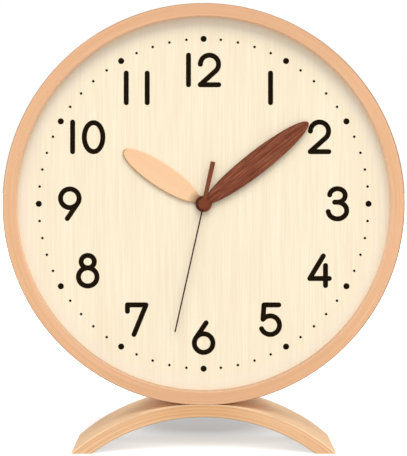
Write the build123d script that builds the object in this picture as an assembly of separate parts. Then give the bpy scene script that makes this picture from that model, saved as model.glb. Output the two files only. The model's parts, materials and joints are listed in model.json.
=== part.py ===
from build123d import *
import math
import os

# Table clock: a round bentwood frame on a bentwood arch, wooden dial and hands, quartz movement.
# Millimetres. X to the viewer's right, Y from the dial to the back, Z up, floor at Z = 0.
# Every piece is drawn about the hand axis, and is raised to its height when it is saved.

# Frame ring
ring_diameter = 200.0
ring_depth = 40.0
ring_wall = 6.8
rabbet_step = 2.0
edge_round = 0.5

# Dial and the hoop that holds it in the rabbet
veneer_thickness = 0.6
backer_thickness = 3.0
dial_clearance = 0.2
hoop_wall = 3.0
hoop_depth = 10.0

# Base arch, flush with the front of the ring, and the flat on which the ring sits
arch_radius = 101.0
arch_wall = 6.5
arch_span = 132.1
arch_depth = 40.0
seat_width = 14.4

# Countersunk screws from under the arch into the ring
base_screw_diameter = 3.5
base_screw_head = 6.6
base_screw_head_height = 2.0
base_screw_cover = 0.8
base_screw_tip = 1.2
base_screw_spacing = 22.0
base_screw_sink = 0.3
screw_clearance = 0.1
drive_slot_width = 0.9
drive_slot_depth = 1.0

# Time that the hands show, and how far the pressed-on hour hand lags, in degrees
shown_hour = 10
shown_minute = 8.68
shown_second = 32.1
hour_hand_lag = 0.8

# Wooden hands, seconds needle and cap
hand_thickness = 0.8
hand_edge_round = 0.2
hand_blend = 1.2
hand_gap = 0.3
hour_reach = 48.2
hour_leaf_root = 3.2
hour_leaf_width = 12.0
hour_neck_width = 5.0
hour_hub_rim = 0.8
minute_reach = 66.2
minute_leaf_root = 0.8
minute_leaf_width = 11.5
minute_hub_rim = 1.8
needle_gap = 0.3
needle_thickness = 0.4
needle_width = 0.7
needle_reach = 65.4
needle_hub_diameter = 4.4
tail_reach = 21.6
tail_root_width = 2.0
tail_end_width = 2.4
cap_diameter = 5.6
cap_height = 0.8
cap_edge_round = 0.3
cap_to_ring_front = 0.6

# Concentric arbors and the bushes that carry the hands
second_arbor_diameter = 1.0
minute_post_wall = 1.02
hour_tube_wall = 0.82
nose_wall = 0.92
nose_length = 0.2
nose_clearance = 0.25
running_clearance = 0.08
bush_wall = 0.7
bush_lip = 0.3
bush_stand = 0.15

# Movement case
case_wall = 1.2
case_corner = 2.0
room_below_train = 1.0
room_above_train = 5.4
lug_length = 8.0
lug_width = 10.0
dial_screw_diameter = 2.2
dial_screw_head = 5.2
dial_screw_head_height = 1.6
dial_screw_cover = 0.5

# Battery, a single AA cell, and its bay
battery_diameter = 14.5
battery_length = 50.5
battery_nub_diameter = 5.5
battery_nub_height = 1.3
battery_clearance = 0.3
contact_sheet = 0.4
contact_bow = 1.15
contact_width = 8.0
contact_flat = 3.0
contact_foot = 1.6
contact_end_gap = 0.45
contact_tail_width = 2.0

# Wheel train: centre distances and directions from the hand axis, in degrees from +X towards +Z
train_distance = 9.0
third_direction = 90.0
intermediate_direction = 20.0
rotor_distance = 7.0
rotor_direction = 45.0
setting_direction = 180.0

# Tooth counts
rotor_teeth = 8
intermediate_teeth = 48
intermediate_pinion_teeth = 12
second_teeth = 60
second_pinion_teeth = 8
third_teeth = 64
third_pinion_teeth = 8
centre_teeth = 60
cannon_teeth = 15
minute_teeth = 45
minute_pinion_teeth = 12
hour_teeth = 48

# Tooth form, in modules along the radius and in tooth pitches around the wheel
tooth_tip = 0.8
tooth_root = 1.2
tooth_root_share = 0.30
tooth_tip_share = 0.10

# Wheel layers along the axis, from the inside of the front plate to the back
layer_gap = 0.4
wheel_thickness = 0.8
motion_wheel_thickness = 1.1
washer_thickness = 0.3
washer_diameter = 6.4
pinion_overlap = 0.2
pivot_diameter = 0.8
pivot_depth = 0.7
pivot_clearance = 0.05
pivot_floor = 0.1

# Bridge and the pillars that carry it
bridge_thickness = 1.0
bridge_margin = 2.2
pillar_diameter = 2.4
pillar_foot_diameter = 3.8
pillar_pin_diameter = 1.6
pillar_below_axis = 7.6
pillar_above_rotor = 11.5
pillar_beyond_setting = 8.4

# Stepping motor
stator_height = 4.0
stator_thickness = 1.0
stator_rim = 0.5
stator_arm_width = 3.8
magnet_diameter = 5.0
magnet_length = 2.4
magnet_air_gap = 0.4
coil_gap = 0.5
coil_wall_gap = 0.8
core_width = 3.0
core_thickness = 1.0
bobbin_tube_diameter = 4.8
bobbin_flange_diameter = 8.4
bobbin_flange = 0.8
bobbin_end_gap = 0.2
winding_diameter = 7.8

# Circuit board
board_gap = 0.8
board_thickness = 0.8
board_height = 14.0
board_top_gap = 0.8
board_boss_diameter = 3.0
board_boss_spacing = 36.0
chip_length = 5.0
chip_width = 4.0
chip_height = 0.9
crystal_diameter = 1.5
crystal_length = 6.0
part_headroom = 0.3

# Set knob
stem_diameter = 2.0
stem_clearance = 0.4
knob_diameter = 12.0
knob_height = 3.0
knob_gap = 0.4
knob_flutes = 18
knob_flute_diameter = 1.2

# Frame and dial, derived
ring_radius = ring_diameter / 2
lip_radius = ring_radius - ring_wall
rabbet_radius = lip_radius + rabbet_step
dial_radius = rabbet_radius - dial_clearance
ring_front = -ring_depth / 2
ring_back = ring_depth / 2
hand_stack = 2 * (hand_gap + hand_thickness) + needle_gap + needle_thickness + cap_height
dial_recess = nose_length + hand_stack + cap_to_ring_front
dial_face = ring_front + dial_recess
veneer_back = dial_face + veneer_thickness
backer_back = veneer_back + backer_thickness

# Base, derived: the arch is cut by the floor at its span, and by the seat at its top
seat_below_axis = math.sqrt(ring_radius**2 - (seat_width / 2) ** 2)
arch_centre_to_floor = math.sqrt(arch_radius**2 - (arch_span / 2) ** 2)
arch_centre_to_seat = math.sqrt(arch_radius**2 - (seat_width / 2) ** 2)
arch_centre = -seat_below_axis - arch_centre_to_seat
floor = arch_centre + arch_centre_to_floor
axis_height = -floor
arch_underside = arch_centre + arch_radius - arch_wall
base_screw_foot = arch_underside + base_screw_sink
base_screw_top = -rabbet_radius - base_screw_cover

# Hands along the axis, derived: each lies further to the front
nose_front = dial_face - nose_length
hour_hand_back = nose_front - hand_gap
hour_hand_front = hour_hand_back - hand_thickness
minute_hand_back = hour_hand_front - hand_gap
minute_hand_front = minute_hand_back - hand_thickness
needle_back = minute_hand_front - needle_gap
needle_front = needle_back - needle_thickness
cap_front = needle_front - cap_height
minute_post_diameter = second_arbor_diameter + 2 * (running_clearance + minute_post_wall)
hour_tube_diameter = minute_post_diameter + 2 * (running_clearance + hour_tube_wall)
nose_diameter = hour_tube_diameter + 2 * (running_clearance + nose_wall)
minute_hub_diameter = minute_post_diameter + 2 * (bush_wall + minute_hub_rim)
hour_hub_diameter = hour_tube_diameter + 2 * (bush_wall + hour_hub_rim)
minute_angle = 6 * shown_minute
hour_angle = 30 * shown_hour + minute_angle / 12 - hour_hand_lag
second_angle = 6 * shown_second

# Movement, derived: layers are distances behind the inside of the front plate
plate_inside = backer_back + case_wall
dial_screw_tip = veneer_back + dial_screw_cover
hour_layer = layer_gap
motion_layer = hour_layer + motion_wheel_thickness + layer_gap
washer_layer = motion_layer + motion_wheel_thickness
centre_layer = washer_layer + washer_thickness
third_layer = centre_layer + wheel_thickness + 2 * layer_gap
second_layer = third_layer + wheel_thickness + 2 * layer_gap
intermediate_layer = second_layer + wheel_thickness + layer_gap
bridge_layer = intermediate_layer + wheel_thickness + 2 * layer_gap
board_layer = bridge_layer + bridge_thickness + board_gap
train_depth = board_layer + board_thickness + crystal_diameter + part_headroom + case_wall
battery_depth = battery_clearance + battery_diameter
tub_depth = max(train_depth, battery_depth)

# Train, derived: modules from the centre distances, then the places of the arbors
rotor_module = 2 * rotor_distance / (rotor_teeth + intermediate_teeth)
second_module = 2 * train_distance / (intermediate_pinion_teeth + second_teeth)
third_module = 2 * train_distance / (second_pinion_teeth + third_teeth)
centre_module = 2 * train_distance / (third_pinion_teeth + centre_teeth)
centre_tip_radius = centre_module * (centre_teeth / 2 + tooth_tip)
setting_distance = centre_tip_radius + stem_clearance + stem_diameter / 2
cannon_module = 2 * setting_distance / (cannon_teeth + minute_teeth)
hour_module = 2 * setting_distance / (minute_pinion_teeth + hour_teeth)


def polar(distance, direction):
    """X and Z of a point at a distance and a direction in degrees."""
    turn = math.radians(direction)
    return distance * math.cos(turn), distance * math.sin(turn)


third_x, third_z = polar(train_distance, third_direction)
intermediate_x, intermediate_z = polar(train_distance, intermediate_direction)
rotor_step_x, rotor_step_z = polar(rotor_distance, rotor_direction)
rotor_x = intermediate_x + rotor_step_x
rotor_z = intermediate_z + rotor_step_z
setting_x, setting_z = polar(setting_distance, setting_direction)

# Pillars, motor and bridge, derived
left_pillar_x = setting_x - pillar_beyond_setting
pillar_low = -pillar_below_axis
pillar_high = rotor_z + pillar_above_rotor
pillar_places = [(x, z) for x in (left_pillar_x, rotor_x) for z in (pillar_low, pillar_high)]
stator_half_width = magnet_diameter / 2 + magnet_air_gap + stator_rim
stator_low = pillar_low - stator_arm_width / 2
stator_high = pillar_high + stator_arm_width / 2
stator_front = plate_inside + stator_height
stator_back = stator_front + stator_thickness
coil_x = rotor_x + stator_half_width + coil_gap + bobbin_flange_diameter / 2
core_middle = stator_back + core_thickness / 2
bridge_front = plate_inside + bridge_layer
bridge_back = bridge_front + bridge_thickness

# Case, derived: wide enough for the battery and for the coil, with the bay under the train
battery_x = battery_length / 2
coil_reach = coil_x + bobbin_flange_diameter / 2 + coil_wall_gap
inside_x = max(battery_x + contact_bow + contact_sheet, coil_reach)
case_width = 2 * (inside_x + case_wall)
bay_height = battery_diameter + 2 * battery_clearance
minute_tip_radius = cannon_module * (minute_teeth / 2 + tooth_tip)
lowest_of_train = min(stator_low, -centre_tip_radius, setting_z - minute_tip_radius)
train_floor = lowest_of_train - room_below_train
train_roof = stator_high + room_above_train
bay_roof = train_floor - case_wall
bay_floor = bay_roof - bay_height
case_top = train_roof + case_wall
case_bottom = bay_floor - case_wall
case_height = case_top - case_bottom
case_middle = (case_top + case_bottom) / 2
case_back = plate_inside + tub_depth
battery_z = bay_floor + bay_height / 2
battery_y = plate_inside + battery_clearance + battery_diameter / 2
lug_x = case_width / 2 + lug_length / 2
board_front = plate_inside + board_layer
board_back = board_front + board_thickness
board_top = train_roof - board_top_gap
board_middle_z = board_top - board_height / 2


def bar(diameter, front, back, x=0.0, z=0.0):
    """A round bar along Y."""
    middle = Pos(x, (front + back) / 2, z)
    return middle * Rot(90, 0, 0) * Cylinder(diameter / 2, back - front)


def tube(outside, inside, front, back, x=0.0, z=0.0):
    """A round tube along Y."""
    return bar(outside, front, back, x, z) - bar(inside, front, back, x, z)


def block(x0, x1, y0, y1, z0, z1):
    """A square block between three pairs of values."""
    middle = Pos((x0 + x1) / 2, (y0 + y1) / 2, (z0 + z1) / 2)
    return middle * Box(x1 - x0, y1 - y0, z1 - z0)


def plate(sketch, front, back):
    """A drawing on the XZ plane, given its thickness along Y."""
    drawn = Plane.XZ.offset(-back) * sketch
    return extrude(drawn, amount=back - front, dir=(0, -1, 0))


def gear(teeth, module, tooth_at, layer, thickness, x=0.0, z=0.0):
    """A wheel with straight-sided teeth, one of them pointing in the direction tooth_at."""
    pitch_radius = module * teeth / 2
    root = pitch_radius - tooth_root * module
    tip = pitch_radius + tooth_tip * module
    corners = (
        (root, -tooth_root_share),
        (tip, -tooth_tip_share),
        (tip, tooth_tip_share),
        (root, tooth_root_share),
    )
    points = []
    for tooth in range(teeth):
        for radius, share in corners:
            points.append(polar(radius, tooth_at + (tooth + share) * 360 / teeth))
    front = plate_inside + layer
    return Pos(x, 0, z) * plate(make_face(Polyline(*points, close=True)), front, front + thickness)


def gap_towards(direction, teeth):
    """Where a tooth must point so that a gap between two teeth points in this direction."""
    return direction + 180 / teeth


def pinion(teeth, module, tooth_at, wheel_layer, thickness, x=0.0, z=0.0):
    """A pinion that reaches a little past both faces of the wheel it meshes with."""
    layer = wheel_layer - pinion_overlap
    return gear(teeth, module, tooth_at, layer, thickness + 2 * pinion_overlap, x, z)


def arbor(x, z):
    """An arbor from its pivot hole in the front plate to the back of the bridge."""
    return bar(pivot_diameter, plate_inside - pivot_depth, bridge_back, x, z)


def frame_ring():
    """The bent ring: a lip in front of the dial and a rabbet behind it, with a flat to sit on."""
    ring = bar(ring_diameter, ring_front, ring_back)
    ring -= bar(2 * lip_radius, ring_front, dial_face)
    ring -= bar(2 * rabbet_radius, dial_face, ring_back)
    rims = ring.edges().group_by(Axis.Y)
    ring = fillet(rims[0] + rims[-1], edge_round)
    ring -= block(-ring_radius, ring_radius, ring_front, ring_back, -2 * ring_radius, -seat_below_axis)
    for y in base_screw_places():
        ring -= base_screw_body(y, screw_clearance)
    return ring


def base_screw_places():
    """Y of the two base screws."""
    return (-base_screw_spacing / 2, base_screw_spacing / 2)


def base_screw_body(y, grow=0.0):
    """A countersunk screw pointing up, or with grow the hole that it passes through."""
    radius = base_screw_diameter / 2 + grow
    head_top = base_screw_foot + base_screw_head_height
    tip_start = base_screw_top - base_screw_tip
    head = Pos(0, y, base_screw_foot + base_screw_head_height / 2)
    head *= Cone(base_screw_head / 2 + grow, radius, base_screw_head_height)
    shank = Pos(0, y, (head_top + tip_start) / 2) * Cylinder(radius, tip_start - head_top)
    tip = Pos(0, y, base_screw_top - base_screw_tip / 2) * Cone(radius, radius / 2, base_screw_tip)
    return head + shank + tip


def base_screw(y):
    """One base screw with its cross-shaped drive."""
    half = base_screw_diameter / 2
    top = base_screw_foot + drive_slot_depth
    along = block(-half, half, y - drive_slot_width / 2, y + drive_slot_width / 2, base_screw_foot, top)
    across = block(-drive_slot_width / 2, drive_slot_width / 2, y - half, y + half, base_screw_foot, top)
    return base_screw_body(y) - along - across


def base_arch():
    """A length of the same bent stock, cut flat at its feet and at the seat of the ring."""
    arch_front = ring_front
    arch_back = ring_front + arch_depth
    inner = 2 * (arch_radius - arch_wall)
    arch = tube(2 * arch_radius, inner, arch_front, arch_back, 0, arch_centre)
    rims = arch.edges().group_by(Axis.Y)
    arch = fillet(rims[0] + rims[-1], edge_round)
    below = floor - 2 * arch_radius
    above = -seat_below_axis + ring_radius
    arch -= block(-2 * arch_radius, 2 * arch_radius, arch_front, arch_back, below, floor)
    arch -= block(-arch_radius, arch_radius, arch_front, arch_back, -seat_below_axis, above)
    for y in base_screw_places():
        arch -= base_screw_body(y, screw_clearance)
        sink_middle = base_screw_foot - base_screw_sink
        arch -= Pos(0, y, sink_middle) * Cylinder(base_screw_head / 2 + screw_clearance, 2 * base_screw_sink)
    return arch


def dial_veneer():
    """The pale face, with the hole for the nose of the movement."""
    return tube(2 * dial_radius, nose_diameter + 2 * nose_clearance, dial_face, veneer_back)


def dial_backer():
    """The board behind the face, drilled for the nose and for the two dial screws."""
    board = tube(2 * dial_radius, nose_diameter + 2 * nose_clearance, veneer_back, backer_back)
    hole = dial_screw_diameter + 2 * screw_clearance
    for x in (-lug_x, lug_x):
        board -= bar(hole, dial_screw_tip - screw_clearance, backer_back, x)
    return board


def retaining_hoop():
    """A thin hoop glued into the rabbet behind the dial."""
    return tube(2 * rabbet_radius, 2 * (rabbet_radius - hoop_wall), backer_back, backer_back + hoop_depth)


def leaf(root, reach, width):
    """A leaf outline pointing up, between two distances from the axis."""
    return Pos(0, (root + reach) / 2) * Rot(0, 0, -90) * Ellipse((reach - root) / 2, width / 2)


def hub(diameter):
    """A round hub on the axis, drawn from its top so that its seam lies inside the leaf."""
    return Rot(0, 0, 90) * Circle(diameter / 2)


def wooden_hand(outline, hole, front, back, angle):
    """A flat hand with blended corners and a softened front edge, bored for its bush and turned."""
    blended = fillet(outline.vertices(), hand_blend)
    hand = plate(blended, front, back)
    hand = fillet(hand.faces().sort_by(Axis.Y)[0].edges(), hand_edge_round)
    hand -= bar(hole, front, back)
    return Rot(0, angle, 0) * hand


def hour_hand():
    """The light hand: a leaf on a short neck and a round hub."""
    neck_top = (hour_leaf_root + hour_reach) / 2
    neck = Pos(0, neck_top / 2) * Rectangle(hour_neck_width, neck_top)
    outline = leaf(hour_leaf_root, hour_reach, hour_leaf_width) + neck + hub(hour_hub_diameter)
    hole = hour_tube_diameter + 2 * bush_wall
    return wooden_hand(outline, hole, hour_hand_front, hour_hand_back, hour_angle)


def minute_hand():
    """The dark hand: a longer leaf that runs into its hub."""
    outline = leaf(minute_leaf_root, minute_reach, minute_leaf_width) + hub(minute_hub_diameter)
    hole = minute_post_diameter + 2 * bush_wall
    return wooden_hand(outline, hole, minute_hand_front, minute_hand_back, minute_angle)


def hand_bush(arbor_diameter, passing_diameter, front, back):
    """A bush pressed into a hand: it sits on its arbor and has a lip in front of the arbor's end."""
    outside = arbor_diameter + 2 * bush_wall
    sleeve = tube(outside, arbor_diameter, front + bush_lip, back + bush_stand)
    return sleeve + tube(outside, passing_diameter, front, front + bush_lip)


def hour_hand_bush():
    """The bush on the hour tube, which the minute post passes through."""
    passing = minute_post_diameter + 2 * bush_stand
    return hand_bush(hour_tube_diameter, passing, hour_hand_front, hour_hand_back)


def minute_hand_bush():
    """The bush on the minute post, which the seconds arbor passes through."""
    passing = second_arbor_diameter + 2 * bush_stand
    return hand_bush(minute_post_diameter, passing, minute_hand_front, minute_hand_back)


def second_hand():
    """A thin needle with a broader tail on the other side of its hub."""
    needle = Pos(0, needle_reach / 2) * Rectangle(needle_width, needle_reach)
    tail_points = (
        (-tail_root_width / 2, 0),
        (tail_root_width / 2, 0),
        (tail_end_width / 2, -tail_reach),
        (-tail_end_width / 2, -tail_reach),
    )
    tail = make_face(Polyline(*tail_points, close=True))
    hand = plate(needle + tail + Circle(needle_hub_diameter / 2), needle_front, needle_back)
    hand -= bar(second_arbor_diameter, needle_front, needle_back)
    return Rot(0, second_angle, 0) * hand


def second_hand_cap():
    """The round cap that is pressed onto the end of the seconds arbor."""
    cap = bar(cap_diameter, cap_front, needle_front)
    cap = fillet(cap.edges().group_by(Axis.Y)[0], cap_edge_round)
    return cap - bar(second_arbor_diameter, needle_front - cap_height / 2, needle_front)


def case_outline():
    """The rounded square of the movement's case."""
    return Pos(0, case_middle) * RectangleRounded(case_width, case_height, case_corner)


def case_front():
    """The front plate of the movement, with its nose, lugs, pivot holes and pillars."""
    lugs = SlotOverall(case_width + 2 * lug_length, lug_width)
    front = plate(case_outline() + lugs, backer_back, plate_inside)
    front += bar(nose_diameter, nose_front, plate_inside)
    front -= bar(hour_tube_diameter + 2 * running_clearance, nose_front, plate_inside)
    for x in (-lug_x, lug_x):
        front -= bar(dial_screw_diameter + 2 * screw_clearance, backer_back, plate_inside, x)
    pivot_end = plate_inside - pivot_depth - pivot_floor
    for x, z in ((third_x, third_z), (intermediate_x, intermediate_z), (rotor_x, rotor_z)):
        front -= bar(pivot_diameter + 2 * pivot_clearance, pivot_end, plate_inside, x, z)
    front -= bar(stem_diameter + 2 * running_clearance, pivot_end, plate_inside, setting_x, setting_z)
    for x, z in pillar_places:
        front += bar(pillar_foot_diameter, plate_inside, stator_front, x, z)
        front += bar(pillar_diameter, stator_front, bridge_front, x, z)
        front += bar(pillar_pin_diameter, bridge_front, bridge_back, x, z)
    return front


def case_rear():
    """The tub: a closed room for the train above a bay that is open at the back for the battery."""
    tub = plate(case_outline(), plate_inside, case_back)
    tub -= block(-inside_x, inside_x, plate_inside, case_back - case_wall, train_floor, train_roof)
    tub -= block(-inside_x, inside_x, plate_inside, case_back, bay_floor, bay_roof)
    tail_front = board_back - contact_tail_width - contact_sheet
    tail_back = board_back + contact_sheet
    for side in (-1, 1):
        edges = sorted((side * (inside_x - 2 * contact_sheet), side * inside_x))
        tub -= block(*edges, tail_front, tail_back, bay_roof, train_floor)
        boss = side * board_boss_spacing / 2
        tub += bar(board_boss_diameter, board_back, case_back, boss, board_middle_z)
    stem_hole = stem_diameter + 2 * running_clearance
    return tub - bar(stem_hole, plate_inside, case_back, setting_x, setting_z)


def dial_screw(x):
    """A round-headed screw through a lug into the backer."""
    head = bar(dial_screw_head, plate_inside, plate_inside + dial_screw_head_height, x)
    head = fillet(head.edges().group_by(Axis.Y)[-1], dial_screw_head_height / 2)
    shank = bar(dial_screw_diameter, dial_screw_tip, plate_inside, x)
    head_top = plate_inside + dial_screw_head_height
    half = dial_screw_head / 2
    slot = block(
        x - half, x + half,
        head_top - dial_screw_head_height / 2, head_top,
        -drive_slot_width / 2, drive_slot_width / 2,
    )
    return head + shank - slot


def train_bridge():
    """The plate behind the wheels, with their rear pivots, staked to the pillars."""
    bridge = block(
        left_pillar_x - bridge_margin, rotor_x + bridge_margin,
        bridge_front, bridge_back,
        pillar_low - bridge_margin, pillar_high + bridge_margin,
    )
    for x, z in pillar_places:
        bridge -= bar(pillar_pin_diameter, bridge_front, bridge_back, x, z)
    for x, z in ((third_x, third_z), (intermediate_x, intermediate_z), (rotor_x, rotor_z)):
        bridge -= bar(pivot_diameter + 2 * pivot_clearance, bridge_front, bridge_back, x, z)
    bridge -= bar(second_arbor_diameter + 2 * pivot_clearance, bridge_front, bridge_back)
    stem_hole = stem_diameter + 2 * running_clearance
    return bridge - bar(stem_hole, bridge_front, bridge_back, setting_x, setting_z)


def motor_stator():
    """The flat pole piece around the rotor, with an arm to each end of the coil core."""
    left = rotor_x - stator_half_width
    right = rotor_x + stator_half_width
    stator = block(left, right, stator_front, stator_back, stator_low, stator_high)
    for z in (pillar_low, pillar_high):
        low = z - stator_arm_width / 2
        arm_end = coil_x + core_width / 2
        stator += block(left, arm_end, stator_front, stator_back, low, low + stator_arm_width)
        stator -= bar(pillar_diameter, stator_front, stator_back, rotor_x, z)
    return stator - bar(magnet_diameter + 2 * magnet_air_gap, stator_front, stator_back, rotor_x, rotor_z)


def coil_core():
    """The strip through the coil, lying on the two arms of the stator."""
    half = core_width / 2
    core_back = stator_back + core_thickness
    return block(coil_x - half, coil_x + half, stator_back, core_back, stator_low, stator_high)


def coil_span():
    """Lowest and highest Z of the bobbin, between the stator's arms."""
    low = stator_low + stator_arm_width + bobbin_end_gap
    high = stator_high - stator_arm_width - bobbin_end_gap
    return low, high


def upright_bar(diameter, low, high):
    """A round bar along Z around the coil core."""
    return Pos(coil_x, core_middle, (low + high) / 2) * Cylinder(diameter / 2, high - low)


def coil_bobbin():
    """The former that the wire is wound on."""
    low, high = coil_span()
    bobbin = upright_bar(bobbin_tube_diameter, low, high)
    bobbin += upright_bar(bobbin_flange_diameter, low, low + bobbin_flange)
    bobbin += upright_bar(bobbin_flange_diameter, high - bobbin_flange, high)
    return bobbin - coil_core()


def coil_winding():
    """The wound wire as one closed ring, hidden inside the case."""
    low, high = coil_span()
    low += bobbin_flange
    high -= bobbin_flange
    return upright_bar(winding_diameter, low, high) - upright_bar(bobbin_tube_diameter, low, high)


def rotor_magnet():
    """The ring magnet in the hole of the stator."""
    middle = (stator_front + stator_back) / 2
    half = magnet_length / 2
    return tube(magnet_diameter, pivot_diameter, middle - half, middle + half, rotor_x, rotor_z)


def rotor_pinion():
    """The rotor's arbor and the pinion that drives the train."""
    toward = rotor_direction + 180
    teeth = pinion(rotor_teeth, rotor_module, toward, intermediate_layer, wheel_thickness, rotor_x, rotor_z)
    return arbor(rotor_x, rotor_z) + teeth


def intermediate_wheel():
    """The wheel between the rotor and the seconds wheel, with its pinion."""
    x, z = intermediate_x, intermediate_z
    away = gap_towards(rotor_direction, intermediate_teeth)
    wheel = gear(intermediate_teeth, rotor_module, away, intermediate_layer, wheel_thickness, x, z)
    toward = intermediate_direction + 180
    small = pinion(intermediate_pinion_teeth, second_module, toward, second_layer, wheel_thickness, x, z)
    return arbor(x, z) + wheel + small


def second_wheel():
    """The seconds wheel on the long arbor that carries the needle, with its pinion."""
    away = gap_towards(intermediate_direction, second_teeth)
    wheel = gear(second_teeth, second_module, away, second_layer, wheel_thickness)
    small = pinion(second_pinion_teeth, third_module, third_direction, third_layer, wheel_thickness)
    return bar(second_arbor_diameter, needle_front - cap_height / 2, bridge_back) + wheel + small


def third_wheel():
    """The wheel that steps the seconds down to the minutes, with its pinion."""
    away = gap_towards(third_direction + 180, third_teeth)
    wheel = gear(third_teeth, third_module, away, third_layer, wheel_thickness, third_x, third_z)
    toward = third_direction + 180
    small = pinion(third_pinion_teeth, centre_module, toward, centre_layer, wheel_thickness, third_x, third_z)
    return arbor(third_x, third_z) + wheel + small


def centre_wheel():
    """The wheel that carries the minute post round through the friction clutch."""
    away = gap_towards(third_direction, centre_teeth)
    wheel = gear(centre_teeth, centre_module, away, centre_layer, wheel_thickness)
    front = plate_inside + centre_layer
    return wheel - bar(minute_post_diameter + 2 * running_clearance, front, front + wheel_thickness)


def cannon_pinion():
    """The minute post: a tube with the pinion of the motion work, from the hand to the centre wheel."""
    back = plate_inside + centre_layer + wheel_thickness + layer_gap / 2
    post = bar(minute_post_diameter, minute_hand_front + bush_lip, back)
    teeth = gear(cannon_teeth, cannon_module, setting_direction, motion_layer, motion_wheel_thickness)
    hole = second_arbor_diameter + 2 * running_clearance
    return post + teeth - bar(hole, minute_hand_front + bush_lip, back)


def clutch_washer():
    """The spring washer between the pinion of the minute post and the centre wheel."""
    front = plate_inside + washer_layer
    return tube(washer_diameter, minute_post_diameter, front, front + washer_thickness)


def minute_wheel():
    """The wheel of the motion work, with the pinion that drives the hour wheel."""
    x, z = setting_x, setting_z
    away = gap_towards(setting_direction + 180, minute_teeth)
    wheel = gear(minute_teeth, cannon_module, away, motion_layer, motion_wheel_thickness, x, z)
    toward = setting_direction + 180
    length = motion_layer - hour_layer
    small = gear(minute_pinion_teeth, hour_module, toward, hour_layer, length, x, z)
    front = plate_inside + hour_layer
    return wheel + small - bar(stem_diameter, front, front + length + motion_wheel_thickness, x, z)


def hour_wheel():
    """The hour wheel and the tube that carries the hour hand, around the minute post."""
    away = gap_towards(setting_direction, hour_teeth)
    wheel = gear(hour_teeth, hour_module, away, hour_layer, motion_wheel_thickness)
    back = plate_inside + hour_layer + motion_wheel_thickness
    wheel += bar(hour_tube_diameter, hour_hand_front + bush_lip, back)
    return wheel - bar(minute_post_diameter + 2 * running_clearance, hour_hand_front + bush_lip, back)


def set_knob():
    """The knob at the back and its stem, which carries the minute wheel."""
    knob_front = case_back + knob_gap
    knob_back = knob_front + knob_height
    knob = bar(knob_diameter, knob_front, knob_back, setting_x, setting_z)
    for flute in range(knob_flutes):
        x, z = polar(knob_diameter / 2, flute * 360 / knob_flutes)
        knob -= bar(knob_flute_diameter, knob_front, knob_back, setting_x + x, setting_z + z)
    return knob + bar(stem_diameter, plate_inside - pivot_depth, knob_front, setting_x, setting_z)


def circuit_board():
    """The board behind the bridge, held by two bosses and soldered to the contacts at its ends."""
    half = inside_x - contact_sheet
    return block(-half, half, board_front, board_back, board_top - board_height, board_top)


def driver_chip():
    """The driver chip on the back of the board."""
    half_x = chip_length / 2
    half_z = chip_width / 2
    low = board_middle_z - half_z
    return block(-half_x, half_x, board_back, board_back + chip_height, low, low + chip_width)


def quartz_crystal():
    """The crystal's can, lying on the back of the board."""
    x = -chip_length - crystal_length / 2
    can = Pos(x, board_back + crystal_diameter / 2, board_middle_z) * Rot(0, 90, 0)
    return can * Cylinder(crystal_diameter / 2, crystal_length)


def battery():
    """The cell, with its positive nub to the right."""
    body_length = battery_length - battery_nub_height
    body = Pos(-battery_x + body_length / 2, battery_y, battery_z) * Rot(0, 90, 0)
    nub = Pos(battery_x - battery_nub_height / 2, battery_y, battery_z) * Rot(0, 90, 0)
    cell = body * Cylinder(battery_diameter / 2, body_length)
    return cell + nub * Cylinder(battery_nub_diameter / 2, battery_nub_height)


def battery_contact(side):
    """A bowed leaf between the end of the cell and the end of the bay, with a tail up to the board."""
    high = bay_roof - contact_end_gap - contact_foot
    low = 2 * battery_z - high
    flat_low = battery_z - contact_flat / 2
    flat_high = battery_z + contact_flat / 2
    points = (
        (inside_x - contact_sheet, low),
        (battery_x, flat_low),
        (battery_x, flat_high),
        (inside_x - contact_sheet, high),
        (inside_x - contact_sheet, high + contact_foot),
        (inside_x, high + contact_foot),
        (inside_x, high),
        (battery_x + contact_sheet, flat_high),
        (battery_x + contact_sheet, flat_low),
        (inside_x, low),
    )
    leaf_back = battery_y + contact_width / 2
    contact = plate(make_face(Polyline(*points, close=True)), battery_y - contact_width / 2, leaf_back)
    tail_front = board_back - contact_tail_width
    tail_x = inside_x - contact_sheet
    contact += block(tail_x, inside_x, tail_front, board_back, high, board_middle_z)
    foot_front = min(tail_front, leaf_back - contact_sheet)
    foot_back = max(board_back, leaf_back)
    contact += block(tail_x, inside_x, foot_front, foot_back, high, high + contact_foot)
    return contact if side > 0 else mirror(contact, about=Plane.YZ)


def save(node, *solids):
    """Writes one piece, or a group of like pieces, raised so that the arch stands on the floor."""
    raised = [Pos(0, 0, axis_height) * solid for solid in solids]
    shape = raised[0] if len(raised) == 1 else Compound(children=raised)
    export_step(shape, f"parts/{node}.step")


os.makedirs("parts", exist_ok=True)
save("frame_ring", frame_ring())
save("retaining_hoop", retaining_hoop())
save("dial_veneer", dial_veneer())
save("dial_backer", dial_backer())
save("base_arch", base_arch())
save("base_screws", *[base_screw(y) for y in base_screw_places()])
save("hour_hand", hour_hand())
save("hour_hand_bush", hour_hand_bush())
save("minute_hand", minute_hand())
save("minute_hand_bush", minute_hand_bush())
save("second_hand", second_hand())
save("second_hand_cap", second_hand_cap())
save("case_front", case_front())
save("case_rear", case_rear())
save("dial_screws", *[dial_screw(x) for x in (-lug_x, lug_x)])
save("train_bridge", train_bridge())
save("motor_stator", motor_stator())
save("coil_core", coil_core())
save("coil_bobbin", coil_bobbin())
save("coil_winding", coil_winding())
save("rotor_magnet", rotor_magnet())
save("rotor_pinion", rotor_pinion())
save("intermediate_wheel", intermediate_wheel())
save("second_wheel", second_wheel())
save("third_wheel", third_wheel())
save("centre_wheel", centre_wheel())
save("cannon_pinion", cannon_pinion())
save("clutch_washer", clutch_washer())
save("minute_wheel", minute_wheel())
save("hour_wheel", hour_wheel())
save("set_knob", set_knob())
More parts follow.
